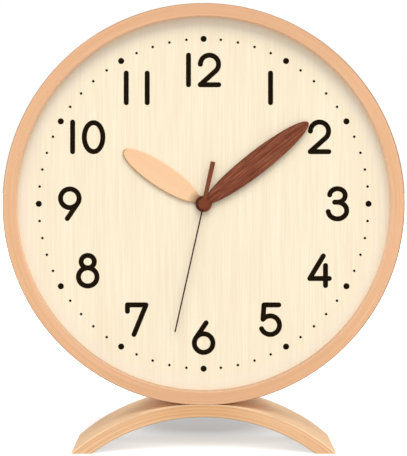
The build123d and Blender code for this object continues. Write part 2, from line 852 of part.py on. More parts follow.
save("circuit_board", circuit_board())
save("driver_chip", driver_chip())
save("quartz_crystal", quartz_crystal())
save("battery", battery())
save("battery_contact_positive", battery_contact(1))
save("battery_contact_negative", battery_contact(-1))
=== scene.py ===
# %% [markdown]
# A round table clock in pale bent wood, dressed for a photograph.
# The solids come ready from the drawing office: a bent ring, an arch that carries it, a dial, wooden
# hands and a small quartz movement. This lesson never moves or reshapes them. It gives each one the
# surface that the real piece has, prints the numbers on the dial, and sets up the floor, the light and
# the camera.

# %% Load the frame
import json
import math

import bmesh
import bpy
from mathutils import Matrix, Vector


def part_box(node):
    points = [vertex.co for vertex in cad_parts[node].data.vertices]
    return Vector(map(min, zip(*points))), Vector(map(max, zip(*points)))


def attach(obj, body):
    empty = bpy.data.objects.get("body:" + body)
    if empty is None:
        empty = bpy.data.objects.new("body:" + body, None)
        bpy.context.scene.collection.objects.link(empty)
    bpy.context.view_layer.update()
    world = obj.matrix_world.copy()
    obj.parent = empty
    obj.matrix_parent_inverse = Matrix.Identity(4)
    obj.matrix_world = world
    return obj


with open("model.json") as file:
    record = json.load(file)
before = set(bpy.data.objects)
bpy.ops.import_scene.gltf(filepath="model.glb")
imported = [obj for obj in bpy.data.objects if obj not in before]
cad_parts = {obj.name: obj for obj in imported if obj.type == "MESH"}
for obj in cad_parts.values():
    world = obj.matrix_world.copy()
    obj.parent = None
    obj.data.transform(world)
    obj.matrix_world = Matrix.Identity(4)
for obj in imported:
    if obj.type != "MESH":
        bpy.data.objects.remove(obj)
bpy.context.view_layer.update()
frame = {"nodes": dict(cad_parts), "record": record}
nodes = frame["nodes"]
print("solids loaded:", len(nodes))

# %% [markdown]
# Everything that follows is placed from the solids themselves, so a changed clock still gets its numbers
# in the middle of its dial. A node's own box tells where the hand axis is, how far back the dial lies, and
# where the arch bends. The tip of a hand is its point furthest from the axis, and that gives the way its
# grain runs.

# %% Measure the clock
MM = 0.001
ring_low, ring_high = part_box("frame_ring")
ring_radius = (ring_high.x - ring_low.x) / 2
axis_height = ring_high.z - ring_radius
ring_front = ring_low.y
dial_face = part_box("dial_veneer")[0].y


def lean_of(node):
    """The angle of a hand's tip, clockwise from twelve, as the reader of the dial sees it."""
    points = [(v.co.x, v.co.z - axis_height) for v in nodes[node].data.vertices]
    tip = max(points, key=lambda point: math.hypot(*point))
    return math.atan2(*tip)


leans = {hand: lean_of(hand) for hand in ("hour_hand", "minute_hand", "second_hand")}
print("axis height in mm:", round(axis_height / MM, 2))
print("hands in degrees:", {hand: round(math.degrees(lean), 1) for hand, lean in leans.items()})

# %% [markdown]
# The camera stands straight in front, a little above the middle of the dial, so the top of the arch shows
# behind its front edge. It is level, as a careful product picture has it, because a camera that tips down
# makes the clock taper towards its feet. A lens that is shifted down frames the whole clock instead, and a
# very small shift sideways puts the hand axis in its own column of the picture. The picture is taller than
# it is wide, so the sensor's width and both shifts count along the picture's height.

# %% Camera
PICTURE_WIDTH, PICTURE_HEIGHT = 407, 456
AXIS_COLUMN, AXIS_ROW = 203.63, 204.1
PIXELS_PER_METRE = 2013.4
CAMERA_DISTANCE = 0.560
CAMERA_RISE = 0.020
SENSOR_WIDTH = 36

camera = bpy.data.objects.new("camera", bpy.data.cameras.new("camera"))
bpy.context.scene.collection.objects.link(camera)
bpy.context.scene.camera = camera
camera.location = (0, ring_front - CAMERA_DISTANCE, axis_height + CAMERA_RISE)
camera.rotation_euler = (math.radians(90), 0, 0)
camera.data.sensor_width = SENSOR_WIDTH
camera.data.lens = SENSOR_WIDTH * CAMERA_DISTANCE * PIXELS_PER_METRE / PICTURE_HEIGHT
horizon_row = AXIS_ROW - CAMERA_RISE * PIXELS_PER_METRE
camera.data.shift_x = (PICTURE_WIDTH / 2 - AXIS_COLUMN) / PICTURE_HEIGHT
camera.data.shift_y = horizon_row / PICTURE_HEIGHT - 0.5
print("lens in mm:", round(camera.data.lens, 1), "shift:", round(camera.data.shift_y, 3))

# %% [markdown]
# A material in Blender is a small network of nodes. Building one by hand takes a line for each node and
# each link, so a few helpers shorten that: one adds a node and fills or links its sockets by name, and
# others do sums on values and on vectors. Colours are written as a paint chart gives them, from 0 to 255,
# and turned into the linear light that the renderer counts in.

# %% Node helpers


def rgb(*levels):
    """A screen colour from 0 to 255 as linear light, with an alpha of 1."""
    shares = [level / 255 for level in levels]
    return (*[s / 12.92 if s <= 0.04045 else ((s + 0.055) / 1.055) ** 2.4 for s in shares], 1.0)


def fill(made, sockets):
    """Sets a node's inputs, or links them where the value is another node's output."""
    for socket, value in sockets.items():
        if isinstance(value, bpy.types.NodeSocket):
            made.id_data.links.new(value, made.inputs[socket])
        else:
            made.inputs[socket].default_value = value


def add(tree, kind, sockets, **settings):
    """Adds one shader node with its settings and inputs."""
    made = tree.nodes.new("ShaderNode" + kind)
    for setting, value in settings.items():
        setattr(made, setting, value)
    fill(made, sockets)
    return made


def calc(tree, operation, first, second=0.0):
    """The result of a sum on two values."""
    return add(tree, "Math", {0: first, 1: second}, operation=operation).outputs[0]


def times(tree, first, second):
    """Two masks multiplied, or one mask made weaker."""
    return calc(tree, "MULTIPLY", first, second)


def vector(tree, operation, first, second):
    """The result of a sum on two vectors."""
    return add(tree, "VectorMath", {0: first, 1: second}, operation=operation).outputs[0]


def scaled(tree, arrow, factor):
    """A vector made longer or shorter."""
    return add(tree, "VectorMath", {0: arrow, "Scale": factor}, operation="SCALE").outputs[0]


def length_of(tree, arrow):
    """The length of a vector."""
    return add(tree, "VectorMath", {0: arrow}, operation="LENGTH").outputs["Value"]


def dot(tree, arrow, direction):
    """How far a vector reaches in a direction, which is a vector of length 1."""
    return add(tree, "VectorMath", {0: arrow, 1: direction}, operation="DOT_PRODUCT").outputs["Value"]


def parts(tree, arrow):
    """A vector's X, Y and Z, as three values."""
    return add(tree, "SeparateXYZ", {0: arrow}).outputs


def joined(tree, **values):
    """A vector from values for its X, Y or Z, with 0 for the others."""
    return add(tree, "CombineXYZ", values).outputs[0]


print("node helpers ready")

# %% [markdown]
# What a surface looks like is then told by masks and places. A mask is a value from 0 to 1 that says where
# something shows, and most of them come from a value stretched to that range, from cloudy noise, or from
# the place of a point on its piece. One helper mixes two colours by a mask.

# %% Masks and places
NOISE_ROUGHNESS = 0.55


def spread(tree, value, low, high, to_low=0.0, to_high=1.0):
    """A value stretched from one range to another, and clipped there."""
    sockets = {"Value": value, "From Min": low, "From Max": high, "To Min": to_low, "To Max": to_high}
    return add(tree, "MapRange", sockets).outputs["Result"]


def blend(tree, mask, first, second):
    """The first colour where the mask is 0, the second where it is 1."""
    mixed = add(tree, "Mix", {0: mask, 6: first, 7: second}, data_type="RGBA")
    return mixed.outputs[2]


def noise(tree, place, depth=0.0, scale=1.0, detail=2.0):
    """Cloudy values about 0.5, solid all through a piece."""
    sockets = {"Vector": place, "W": depth, "Scale": scale, "Detail": detail, "Roughness": NOISE_ROUGHNESS}
    return add(tree, "TexNoise", sockets, noise_dimensions="4D").outputs[0]


def places(tree):
    """Each point's place in the clock's own frame, in metres, also when the piece moves."""
    return add(tree, "TexCoord", {}).outputs["Object"]


def facing(tree):
    """The way that the surface faces, as a vector of length 1."""
    return add(tree, "NewGeometry", {}).outputs["Normal"]


print("masks and places ready")

# %% [markdown]
# Every finish here is one principled shader, which takes a colour, a roughness and a shine. What several
# finishes share, such as grain or worn edges, is built once as a node group: a box with named inputs and
# outputs that is placed in each material with its own values.

# %% Finishes and groups


def new_finish(name, roughness, shine=0.5):
    """A material with one principled shader."""
    material = bpy.data.materials.new(name)
    material.use_nodes = True
    shader = material.node_tree.nodes["Principled BSDF"]
    shader.inputs["Roughness"].default_value = roughness
    shader.inputs["Specular IOR Level"].default_value = shine
    return material, material.node_tree, shader


def new_group(name, inputs, outputs):
    """An empty node group, with the sockets that come in and the node that sends results out."""
    tree = bpy.data.node_groups.new(name, "ShaderNodeTree")
    for socket, value in inputs.items():
        kind = "NodeSocketVector" if isinstance(value, tuple) else "NodeSocketFloat"
        tree.interface.new_socket(socket, in_out="INPUT", socket_type=kind).default_value = value
    for socket in outputs:
        tree.interface.new_socket(socket, in_out="OUTPUT", socket_type="NodeSocketFloat")
    return tree, tree.nodes.new("NodeGroupInput").outputs, tree.nodes.new("NodeGroupOutput")


def use(tree, group, sockets):
    """Places a node group in a material, or in another group."""
    made = tree.nodes.new("ShaderNodeGroup")
    made.node_tree = group
    fill(made, sockets)
    return made.outputs


print("finishes and groups ready")

# %% [markdown]
# Product photographs stand such a clock on a lit white table, so the floor fades into the background and
# only the soft shadow under the arch remains. A flat disc does that, with a glow that only the camera
# sees. The glow is missing in an oval patch under and behind the arch, so the shadow shows there. For the
# light that it throws back up, the floor is darker, and the clock gets less light from below. The sky is
# plain white for the camera and dimmer as a light.

# %% Floor and background
WHITE = (1, 1, 1, 1)
FLOOR_RADIUS = 5.0
FLOOR_SHADE = (0.66, 0.68, 0.695, 1)
FLOOR_BOUNCE = (0.50, 0.50, 0.50, 1)
OPEN_GLOW, PATCH_GLOW = 0.60, 0.0
PATCH_MIDDLE = (0.0, 0.045, 0.0)
PATCH_HALF = (0.085, 0.05, 1.0)
PATCH_CORE = 0.3
SKY_LIGHT = 0.87

bpy.context.scene.view_settings.view_transform = "Standard"
bpy.ops.mesh.primitive_circle_add(vertices=96, radius=FLOOR_RADIUS, fill_type="NGON")
floor = bpy.context.object
floor.name = "floor"

table, table_tree, table_shader = new_finish("white_table", 0.9, 0.0)
seen = add(table_tree, "LightPath", {}).outputs["Is Camera Ray"]
aside = vector(table_tree, "SUBTRACT", places(table_tree), PATCH_MIDDLE)
away = length_of(table_tree, vector(table_tree, "DIVIDE", aside, PATCH_HALF))
glow = spread(table_tree, away, PATCH_CORE, 1.0, PATCH_GLOW, OPEN_GLOW)
fill(table_shader, {
    "Base Color": blend(table_tree, seen, FLOOR_BOUNCE, FLOOR_SHADE),
    "Emission Color": WHITE,
    "Emission Strength": times(table_tree, glow, seen),
})
floor.data.materials.append(table)

sky = bpy.data.worlds.new("white_sky")
bpy.context.scene.world = sky
sky.use_nodes = True
sky_shader = sky.node_tree.nodes["Background"]
seen = add(sky.node_tree, "LightPath", {}).outputs["Is Camera Ray"]
fill(sky_shader, {"Color": WHITE, "Strength": spread(sky.node_tree, seen, 0.0, 1.0, SKY_LIGHT, 1.0)})
print("floor radius in m:", FLOOR_RADIUS)

# %% [markdown]
# The rim throws a soft shade on the top of the dial, and each hand a thin one below itself, so the main
# light comes from above and in front. A sun lamp with a broad disc is a softbox that stands very far away:
# its light is equal all over the table. Two more stand to the right and the left. The right one is the
# stronger, because the shade inside the rim is deeper on that side. The last one lights the back.

# %% Softboxes


def softbox(name, side, rise, breadth, strength):
    """A distant lamp: its direction from the front, to the right and up, and its breadth, in degrees."""
    light = bpy.data.lights.new(name, "SUN")
    light.angle = math.radians(breadth)
    light.energy = strength
    lamp = bpy.data.objects.new(name, light)
    bpy.context.scene.collection.objects.link(lamp)
    lamp.rotation_euler = (math.radians(90 - rise), 0, math.radians(side))
    lamp.location = (0, 0, 1)


softbox("top_softbox", 0, 55, 30, 0.90)
softbox("right_softbox", 40, 48, 34, 0.80)
softbox("left_softbox", -40, 48, 34, 0.32)
softbox("rear_softbox", 170, 50, 60, 0.35)
print("softboxes:", len(bpy.data.lights))

# %% [markdown]
# All the wood here has the same build: long fibres, slow bands where the growth rings pass, and the short
# dark flecks that beech shows. One group draws these three from a place along the fibre, a place across it
# and a depth. Noise that is stretched along the fibre gives streaks, and a high threshold leaves only the
# flecks.

# %% Wood fibres
GRAIN_SIZES = {"Band Width": 0.004, "Fibre Width": 0.0004, "Streak Length": 0.06}
GRAIN_MASKS = ("Bands", "Fibres", "Flecks")
BAND_STRETCH = 3.0
FLECK_STRETCH = 0.05


def build_fibres():
    """The group that draws bands, fibres and flecks."""
    inputs = {"Along": (0.0, 0.0, 0.0), "Across": 0.0, "Depth": 0.0, **GRAIN_SIZES}
    tree, given, end = new_group("wood_fibres", inputs, GRAIN_MASKS)

    def streaks(stretch, width, detail):
        length = times(tree, given["Streak Length"], stretch)
        along = scaled(tree, given["Along"], calc(tree, "DIVIDE", 1.0, length))
        across = joined(tree, Z=calc(tree, "DIVIDE", given["Across"], width))
        depth = calc(tree, "DIVIDE", given["Depth"], width)
        return noise(tree, vector(tree, "ADD", along, across), depth, detail=detail)

    bands = streaks(BAND_STRETCH, given["Band Width"], 2.0)
    fine = streaks(1.0, given["Fibre Width"], 3.0)
    flecks = streaks(FLECK_STRETCH, given["Fibre Width"], 1.0)
    fill(end, {
        "Bands": spread(tree, bands, 0.3, 0.7),
        "Fibres": spread(tree, fine, 0.3, 0.7),
        "Flecks": spread(tree, flecks, 0.60, 0.72),
    })
    return tree


wood_fibres = build_fibres()
print("group made:", wood_fibres.name)

# %% [markdown]
# Bent wood keeps its fibres along the bend, and a flat board has them straight. Two groups feed the same
# fibres. One counts along a circle about the bend's own centre, with no seam, because a place on the
# circle is given by two coordinates. The other turns the piece until its fibre points up.

# %% Bent wood and straight wood


def feed_fibres(tree, given, end, along, across, depth):
    """Draws the fibres inside another group, and sends their masks out of it."""
    sizes = {size: given[size] for size in GRAIN_SIZES}
    masks = use(tree, wood_fibres, {"Along": along, "Across": across, "Depth": depth, **sizes})
    fill(end, {mask: masks[mask] for mask in GRAIN_MASKS})


def build_bent():
    """Fibres that follow a circle about a level line at a given height."""
    inputs = {"Bend Height": 0.0, "Bend Radius": 0.1, **GRAIN_SIZES}
    tree, given, end = new_group("bent_wood", inputs, GRAIN_MASKS)
    place = parts(tree, places(tree))
    rise = calc(tree, "SUBTRACT", place["Z"], given["Bend Height"])
    spoke = joined(tree, X=place["X"], Y=rise)
    unit = add(tree, "VectorMath", {0: spoke}, operation="NORMALIZE").outputs[0]
    along = scaled(tree, unit, given["Bend Radius"])
    feed_fibres(tree, given, end, along, length_of(tree, spoke), place["Y"])
    return tree


def build_straight():
    """Fibres that run one way, which leans from upright towards +X."""
    tree, given, end = new_group("straight_wood", {"Lean": 0.0, **GRAIN_SIZES}, GRAIN_MASKS)
    sockets = {"Vector": places(tree), "Angle": times(tree, given["Lean"], -1.0)}
    turned = add(tree, "VectorRotate", sockets, rotation_type="Y_AXIS").outputs[0]
    place = parts(tree, turned)
    feed_fibres(tree, given, end, joined(tree, X=place["Z"]), place["X"], place["Y"])
    return tree


bent_wood = build_bent()
straight_wood = build_straight()
print("groups made:", bent_wood.name, straight_wood.name)

# %% [markdown]
# Edges tell how a thing was made and handled: plastic is rubbed grey along them. The same mask darkens
# the rim of the seconds cap. A rounded normal, compared with the true one, differs only near an edge, so
# that difference is the mask. A second mask keeps the edges that face left, for painted shade on the hands.

# %% Arrises
BEVEL_SAMPLES = 6
FLAT_LIKENESS, EDGE_LIKENESS = 0.995, 0.88
LEFT_START, LEFT_FULL = -0.02, -0.20


def build_arris():
    """A mask that is 1 along edges and fades over the given width, and one for the left edges alone."""
    tree, given, end = new_group("arris", {"Width": 0.0006}, ["Mask", "Left"])
    rounded = add(tree, "Bevel", {"Radius": given["Width"]}, samples=BEVEL_SAMPLES).outputs[0]
    mask = spread(tree, dot(tree, rounded, facing(tree)), FLAT_LIKENESS, EDGE_LIKENESS)
    own = add(tree, "VectorTransform", {0: rounded}, vector_type="NORMAL", convert_to="OBJECT").outputs[0]
    to_left = spread(tree, parts(tree, own)["X"], LEFT_START, LEFT_FULL)
    fill(end, {"Mask": mask, "Left": times(tree, mask, to_left)})
    return tree


arris = build_arris()
print("group made:", arris.name)

# %% [markdown]
# The ring and the arch are strips with two broad sides, two narrow edges, and a small rounding between
# them. Both bend in the upright plane of the dial, so only their narrow edges face the front or the back.
# How far a point faces forward therefore tells where on the strip it lies, and no edge has to be searched.

# %% Sides of a bent strip
BROAD_START, BROAD_FULL = 0.8, 0.4
ON_EDGE, OFF_EDGE = 0.99, 0.93
ON_SIDE, OFF_SIDE = 0.05, 0.20


def build_strip():
    """Masks of a strip's broad sides, and of the rounding between them and its narrow edges."""
    tree, _, end = new_group("bent_strip", {}, ["Broad", "Rounding"])
    forward = calc(tree, "ABSOLUTE", parts(tree, facing(tree))["Y"])
    broad = spread(tree, forward, BROAD_START, BROAD_FULL)
    past_edge = spread(tree, forward, ON_EDGE, OFF_EDGE)
    past_side = spread(tree, forward, ON_SIDE, OFF_SIDE)
    fill(end, {"Broad": broad, "Rounding": times(tree, past_edge, past_side)})
    return tree


bent_strip = build_strip()
print("group made:", bent_strip.name)

# %% [markdown]
# Plastic, paint, resin and board share a skin of fine bumps, with slow blotches where hands and moulds
# left it duller. Worked metal has fine scratches that run one way. Both are groups, because many pieces
# use them.

# %% Skins of plastic and metal
BLOTCH_WIDTH = 20.0
TARNISH_PER_METRE = 300.0


def build_skin():
    """Fine bumps of a given size, and slow blotches twenty times as wide."""
    tree, given, end = new_group("moulded_skin", {"Grain": 0.0003}, ["Bumps", "Blotches"])
    fine = calc(tree, "DIVIDE", 1.0, given["Grain"])
    slow = calc(tree, "DIVIDE", fine, BLOTCH_WIDTH)
    place = places(tree)
    fill(end, {
        "Bumps": noise(tree, place, scale=fine, detail=1.0),
        "Blotches": spread(tree, noise(tree, place, scale=slow), 0.35, 0.65),
    })
    return tree


def build_metal():
    """Scratches stretched by three factors, in lines for each metre, and slow tarnish."""
    inputs = {"Lines": (200.0, 200.0, 5000.0)}
    tree, given, end = new_group("worked_metal", inputs, ["Scratches", "Tarnish"])
    place = places(tree)
    tarnish = noise(tree, place, scale=TARNISH_PER_METRE, detail=3.0)
    fill(end, {
        "Scratches": noise(tree, vector(tree, "MULTIPLY", place, given["Lines"]), detail=3.0),
        "Tarnish": spread(tree, tarnish, 0.4, 0.7),
    })
    return tree


moulded_skin = build_skin()
worked_metal = build_metal()
print("groups made:", moulded_skin.name, worked_metal.name)

# %% [markdown]
# Wood gets its colour in layers: two tones in slow bands, a darker tone in the fine fibres, and dark
# flecks. A bent strip has another tone on its broad sides, and a thin leaf has painted shade along the
# edges that face left. The fibres also make the gloss uneven and give a very low relief, as lacquered wood
# has.
# One function does all that, and each wooden piece brings its own group, tones and shares.

# %% Wood finish
WOOD_ROUGHNESS = 0.55
WOOD_GLOSS_CHANGE = 0.06
WOOD_SHINE = 0.2
FIBRE_RELIEF = 0.00003
LACQUER_ROUGHNESS = 0.35
# The width of the painted shade along the left edges of the hands.
LEFT_SHADE_WIDTH = 0.0013


def relief(tree, shader, height, depth):
    """Low relief from a height mask, over a depth in metres."""
    bump = add(tree, "Bump", {"Height": height, "Strength": 1.0, "Distance": depth})
    fill(shader, {"Normal": bump.outputs[0]})


def uneven_gloss(tree, mask, roughness, change, low=0.0, high=1.0):
    """A roughness that rises with a mask, by the same change below and above its middle."""
    return spread(tree, mask, low, high, roughness - change, roughness + change)


def wood_finish(name, group, sizes, tones, fibre, fleck, broad=None, left_shade=None, coat=0.0):
    """Layered wood. Fibre, fleck and the painted shade on left edges are a tone and share; broad tints a
    strip.
    """
    material, tree, shader = new_finish(name, WOOD_ROUGHNESS, WOOD_SHINE)
    masks = use(tree, group, sizes)
    colour = blend(tree, masks["Bands"], *tones)
    if broad:
        colour = blend(tree, use(tree, bent_strip, {})["Broad"], colour, broad)
    layers = [(masks["Fibres"], fibre), (masks["Flecks"], fleck)]
    # Painted shade along the edges that face left, on the wooden hands.
    if left_shade:
        layers.append((use(tree, arris, {"Width": LEFT_SHADE_WIDTH})["Left"], left_shade))
    for mask, (tone, share) in layers:
        colour = blend(tree, times(tree, mask, share), colour, tone)
    gloss = uneven_gloss(tree, masks["Fibres"], WOOD_ROUGHNESS, WOOD_GLOSS_CHANGE)
    fill(shader, {"Base Color": colour, "Roughness": gloss})
    fill(shader, {"Coat Weight": coat, "Coat Roughness": LACQUER_ROUGHNESS})
    relief(tree, shader, masks["Fibres"], FIBRE_RELIEF)
    return material


print("wood finish ready")

# %% [markdown]
# Wood isn't one tone all over: arrises darken, a crown fades, and a hub takes a stain. Such a tone is laid
# over the finished colour, by a mask that comes from the place on the piece. Most of these masks count
# from the axis of the hands or of a bend, so a helper gives the vector from there to each point.

# %% Tones by place


def overlay(material, mask, tone):
    """Lays one more tone over a finished colour, where the mask is 1."""
    shader = material.node_tree.nodes["Principled BSDF"]
    under = shader.inputs["Base Color"].links[0].from_socket
    fill(shader, {"Base Color": blend(material.node_tree, mask, under, tone)})


def arm(tree, height):
    """The vector to each point, across and up, from a level line at this height."""
    aside = vector(tree, "SUBTRACT", places(tree), (0.0, 0.0, height))
    return vector(tree, "MULTIPLY", aside, (1.0, 0.0, 1.0))


def reach(tree, spoke, lean):
    """How far a vector from the axis reaches in a direction, which leans from twelve with the clock."""
    return dot(tree, spoke, (math.sin(lean), 0.0, math.cos(lean)))


def dress(material, *names):
    """Gives the nodes of these names a material."""
    for name in names:
        nodes[name].data.materials.clear()
        nodes[name].data.materials.append(material)
    print(material.name, "on", ", ".join(names))


print("tones by place ready")

# %% [markdown]
# The ring is a strip of beech, steamed and bent round until its ends meet, with a matt clear coat. Its
# fibres follow the circle, on the narrow front edge as well as on the broad outside. The hoop behind the
# dial is a thinner strip of the same wood. Above and below, the ring is a little darker, and its outer
# arris is brown. The wall of its lip round the dial has painted light where it faces down, into shade,
# and painted shade where it faces up, into the light.

# %% Ring and hoop
LIP_WALL = 0.0005
ring_sizes = {
    "Bend Height": axis_height, "Bend Radius": ring_radius,
    "Band Width": 0.0025, "Fibre Width": 0.0006, "Streak Length": 0.04,
}
ring_beech = wood_finish(
    "ring_beech", bent_wood, ring_sizes, tones=(rgb(237, 186, 148), rgb(223, 178, 134)),
    fibre=(rgb(211, 157, 114), 0.52), fleck=(rgb(192, 136, 94), 0.10), broad=rgb(228, 180, 139), coat=0.05,
)
lip_radius = min(math.hypot(v.co.x, v.co.z - axis_height) for v in nodes["frame_ring"].data.vertices)


def tone_ring(material):
    """Tones by the place on the ring: its arrises, its top and bottom, and the wall of its lip."""
    tree = material.node_tree
    spoke = arm(tree, axis_height)
    away = length_of(tree, spoke)
    sides = use(tree, bent_strip, {})
    outer = calc(tree, "GREATER_THAN", away, (ring_radius + lip_radius) / 2)
    overlay(material, sides["Rounding"], blend(tree, outer, rgb(218, 176, 142), rgb(150, 112, 84)))
    steep = calc(tree, "ABSOLUTE", calc(tree, "DIVIDE", parts(tree, spoke)["Z"], away))
    overlay(material, spread(tree, steep, 0.6, 1.0, 0.0, 0.4), rgb(212, 162, 124))
    # Painted light on the lip's wall where it faces down, into shade, and painted shade where it faces up.
    lip = times(tree, sides["Broad"], calc(tree, "LESS_THAN", away, lip_radius + LIP_WALL))
    upward = spread(tree, parts(tree, facing(tree))["Z"], 0.2, 0.8)
    overlay(material, lip, blend(tree, upward, rgb(241, 203, 168), rgb(195, 160, 130)))


tone_ring(ring_beech)
dress(ring_beech, "frame_ring", "retaining_hoop")

# %% [markdown]
# The arch is bent from thicker stock, so its front edge shows the growth rings as lines along the curve,
# with painted shade at the middle, below the ring. Its broad top is paler, partly as painted light, with
# painted light at the crown and painted shade at the front of the legs. Its circle is found from three
# points of its box: the two feet and the crown, as if the seat were not cut. The lines are a wave that
# counts the depth below that circle.

# %% Arch
arch_low, arch_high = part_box("base_arch")
arch_half_span = (arch_high.x - arch_low.x) / 2
arch_radius = (arch_half_span**2 + arch_high.z**2) / (2 * arch_high.z)
arch_centre = arch_high.z - arch_radius
arch_sizes = {
    "Bend Height": arch_centre, "Bend Radius": arch_radius,
    "Band Width": 0.0007, "Fibre Width": 0.0004, "Streak Length": 0.04,
}
# The broad top's paler tone is partly the wood's own face and partly painted light under the ring.
arch_beech = wood_finish(
    "arch_beech", bent_wood, arch_sizes, tones=(rgb(242, 201, 158), rgb(213, 161, 116)),
    fibre=(rgb(200, 149, 107), 0.25), fleck=(rgb(186, 130, 90), 0.12), broad=rgb(222, 186, 145), coat=0.05,
)
GROWTH_RING = 0.00175
MIDDLE_SHADE_END, MIDDLE_SHADE_FULL = 0.034, 0.010
CROWN_END, CROWN_FULL = 0.054, 0.036
LEG_START, LEG_FULL = 0.020, 0.036
FRONT_START, FRONT_FULL = 0.008, -0.019


def tone_arch(material):
    """Tones on the arch: lines, painted shade on its middle and front, painted light on its crown, arrises.
    """
    tree = material.node_tree
    sides = use(tree, bent_strip, {})
    narrow = spread(tree, sides["Broad"], 0.0, 1.0, 1.0, 0.0)
    place = parts(tree, places(tree))
    across = calc(tree, "ABSOLUTE", place["X"])
    # Painted shade on the middle of the front edge, below the ring.
    middle_shade = spread(tree, across, MIDDLE_SHADE_END, MIDDLE_SHADE_FULL, 0.0, 0.6)
    overlay(material, times(tree, narrow, middle_shade), rgb(203, 147, 94))
    depth = calc(tree, "SUBTRACT", length_of(tree, arm(tree, arch_centre)), arch_radius)
    ripple = calc(tree, "COSINE", times(tree, depth, 2 * math.pi / GROWTH_RING))
    lines = times(tree, narrow, spread(tree, ripple, 0.2, 1.0, 0.0, 0.35))
    overlay(material, lines, rgb(246, 206, 160))
    # Painted light on the broad top at the crown, where the ring shades it.
    crown = spread(tree, across, CROWN_END, CROWN_FULL)
    overlay(material, times(tree, sides["Broad"], crown), rgb(255, 224, 178))
    # Painted shade on the broad top of the legs, towards the front, which gets more light.
    leg = spread(tree, across, LEG_START, LEG_FULL)
    leg_front = times(tree, leg, spread(tree, place["Y"], FRONT_START, FRONT_FULL))
    overlay(material, times(tree, sides["Broad"], leg_front), rgb(220, 183, 138))
    # The arrises: paler on the legs, darker at the crown as painted shade over the lit rounding.
    overlay(material, sides["Rounding"], blend(tree, crown, rgb(240, 204, 168), rgb(207, 180, 146)))


tone_arch(arch_beech)
dress(arch_beech, "base_arch")
print("arch radius in mm:", round(arch_radius / MM, 1))

# %% [markdown]
# The dial is a thin veneer with a straight upright grain, so pale that the streaks only just show, and a
# little greyer towards its rim: painted shade where the ring shades it. A picture of veneer could be laid
# on it, but drawn fibres stay sharp close up and need no unwrapping.

# %% Dial veneer
DIAL_RIM_START, DIAL_RIM_FULL = 0.085, 0.0905
dial_sizes = {"Lean": 0.0, "Band Width": 0.006, "Fibre Width": 0.0007, "Streak Length": 0.036}
dial_wood = wood_finish(
    "dial_veneer_wood", straight_wood, dial_sizes, tones=(rgb(246, 235, 210), rgb(241, 227, 200)),
    fibre=(rgb(231, 212, 181), 0.64), fleck=(rgb(230, 208, 176), 0.10),
)
dial_tree = dial_wood.node_tree
dial_away = length_of(dial_tree, arm(dial_tree, axis_height))
# Painted shade: greyer towards the rim, where the ring shades the dial.
dial_rim = spread(dial_tree, dial_away, DIAL_RIM_START, DIAL_RIM_FULL, 0.0, 0.5)
overlay(dial_wood, dial_rim, rgb(235, 228, 213))
dress(dial_wood, "dial_veneer")

# %% [markdown]
# The hands are leaves of thin wood, cut along the grain, so each finish is turned to the way its own hand
# lies. The hour hand is a light leaf with a very faint grain. Its left edge gets painted shade, and its
# root gets a painted shadow where the hub shades it.

# %% Hour hand
ROOT_START, ROOT_FULL = 0.0085, 0.0040
light_sizes = {
    "Lean": leans["hour_hand"], "Band Width": 0.005, "Fibre Width": 0.0005, "Streak Length": 0.03,
}
light_hand = wood_finish(
    "light_hand_wood", straight_wood, light_sizes, tones=(rgb(241, 200, 159), rgb(239, 194, 152)),
    fibre=(rgb(230, 179, 134), 0.20), fleck=(rgb(222, 168, 122), 0.10), left_shade=(rgb(78, 56, 34), 1.0),
)
light_tree = light_hand.node_tree
# Painted shadow of the hub on the root of the hour hand.
root_away = length_of(light_tree, arm(light_tree, axis_height))
root = spread(light_tree, root_away, ROOT_START, ROOT_FULL, 0.0, 0.8)
overlay(light_hand, root, rgb(110, 78, 52))
dress(light_hand, "hour_hand")

# %% [markdown]
# The minute hand is a dark oiled leaf with short, strong streaks of dark and red. Its left edge gets
# painted shade, and so does its round hub where the leaf doesn't run into it, darkest on its upper left.

# %% Minute hand
HUB_RADIUS = 0.0042
HUB_FADE = 0.0015
HUB_SHADE_LEAN = math.radians(-60)
dark_sizes = {
    "Lean": leans["minute_hand"], "Band Width": 0.0009, "Fibre Width": 0.0005, "Streak Length": 0.006,
}
dark_hand = wood_finish(
    "dark_hand_wood", straight_wood, dark_sizes, tones=(rgb(162, 95, 66), rgb(96, 33, 7)),
    fibre=(rgb(75, 24, 3), 0.50), fleck=(rgb(54, 18, 4), 0.45), left_shade=(rgb(56, 34, 18), 0.95),
)


def stain_hub(material, lean):
    """Paints shade on the round hub of a hand, on the side away from its leaf, darkest on the upper left.
    """
    tree = material.node_tree
    spoke = arm(tree, axis_height)
    disc = calc(tree, "LESS_THAN", length_of(tree, spoke), HUB_RADIUS)
    bare = spread(tree, reach(tree, spoke, lean), 2 * HUB_FADE, HUB_FADE)
    shaded = spread(tree, reach(tree, spoke, HUB_SHADE_LEAN), -HUB_FADE, HUB_FADE)
    # Painted shade on the hub, darkest on its upper left.
    hub_shade = blend(tree, shaded, rgb(130, 68, 44), rgb(80, 36, 19))
    overlay(material, times(tree, disc, bare), hub_shade)


stain_hub(dark_hand, leans["minute_hand"])
dress(dark_hand, "minute_hand")

# %% [markdown]
# The seconds hand and its cap are thin metal with a matt red-brown paint. The paint has a faint
# orange-peel, and the needle is darker than the broad tail, so the mask runs along the hand and turns over
# at the hub.

# %% Seconds hand
NEEDLE_FADE = 0.004
PAINT_ROUGHNESS = 0.6
PAINT_GRAIN = 0.0004
FAINT_RELIEF = 0.00001
CAP_RIM_WIDTH = 0.0004


